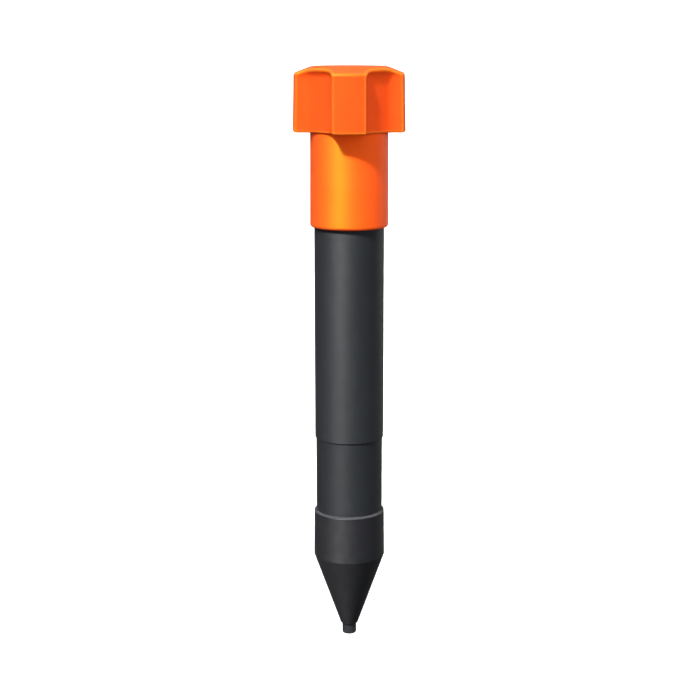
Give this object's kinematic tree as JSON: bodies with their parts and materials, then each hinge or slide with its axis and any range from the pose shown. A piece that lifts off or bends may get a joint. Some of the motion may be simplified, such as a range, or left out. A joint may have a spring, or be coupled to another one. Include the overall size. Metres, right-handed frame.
{
  "type": "pinpointer probe",
  "caption": "Slim round hand-held metal-locating probe with a lobed screw cap, coloured neck sleeve, dark barrel, collar, cone and a small nib; works by a coil in its tip.",
  "frame": {"origin": "centre of the nib's tip, the lowest point, on the probe's axis", "axes": "+Z along the probe from the nib to the cap; -Y faces the viewer, along the middle of one lobe; +X to the viewer's right"},
  "size_m": [0.0454, 0.0454, 0.24],
  "materials": {
    "cap_orange": "satin",
    "sleeve_orange": "satin",
    "grip_dark": "satin",
    "barrel_dark": "satin",
    "nose_black": "satin",
    "nib_dark": "satin",
    "seal_rubber": "matte",
    "contact_brass": "satin",
    "screw_steel": "satin",
    "spring_steel": "polished",
    "cell_jacket": "gloss",
    "liner_plastic": "satin",
    "foam": "matte",
    "board_green": "satin",
    "chip_epoxy": "matte",
    "tinned_metal": "satin",
    "capacitor_can": "satin",
    "crystal_can": "satin",
    "resistor_body": "matte",
    "motor_steel": "satin",
    "tungsten": "satin",
    "wire_red": "satin",
    "ferrite": "matte",
    "bobbin_plastic": "satin",
    "magnet_wire": "gloss",
    "resin": "gloss"
  },
  "bodies": {
    "barrel": {"neck_sleeve": "sleeve_orange", "grip_sleeve": "grip_dark", "barrel_tube": "barrel_dark", "nose_cone": "nose_black", "tip_nib": "nib_dark", "cap_o_ring": "seal_rubber", "nose_o_ring": "seal_rubber", "ring_contact": "contact_brass", "return_strip": "contact_brass", "battery_cradle": "liner_plastic", "lower_contact": "contact_brass", "contact_spring": "spring_steel", "battery_lead": "wire_red", "damping_pad": "foam", "circuit_chassis": "liner_plastic", "circuit_board": "board_green", "board_screws": "screw_steel", "control_chip": "chip_epoxy", "chip_pins": "tinned_metal", "capacitors": "capacitor_can", "clock_crystal": "crystal_can", "driver_transistors": "chip_epoxy", "chip_resistors": "resistor_body", "motor_can": "motor_steel", "motor_clip": "tinned_metal", "motor_leads": "wire_red", "ferrite_rod": "ferrite", "coil_bobbin": "bobbin_plastic", "receive_coil": "magnet_wire", "transmit_coil": "magnet_wire", "coil_leads": "magnet_wire", "coil_potting": "resin"},
    "battery_stack": {"battery_upper": "cell_jacket", "battery_lower": "cell_jacket"},
    "twist_cap": {"twist_cap": "cap_orange", "cap_contact": "contact_brass", "contact_screws": "screw_steel"},
    "motor_rotor": {"motor_shaft": "screw_steel", "eccentric_weight": "tungsten"}
  },
  "joints": [
    {"name": "battery_rise", "type": "slide", "parent": "barrel", "child": "battery_stack", "axis": [0, 0, 1], "range_m": [0, 0.00376], "deforming": ["contact_spring"]},
    {"name": "cap_turn", "type": "hinge", "parent": "battery_stack", "child": "twist_cap", "pos_m": [0, 0, 0.2265], "axis": [0, 0, 1], "range_deg": [0, 540]},
    {"name": "motor_spin", "type": "hinge", "parent": "barrel", "child": "motor_rotor", "pos_m": [0, 0.0025, 0.105], "axis": [0, 0, 1], "continuous": true}
  ],
  "couplings": [
    {"joint": "battery_rise", "follows": "cap_turn", "m_per_rad": 0.00039789}
  ]
}
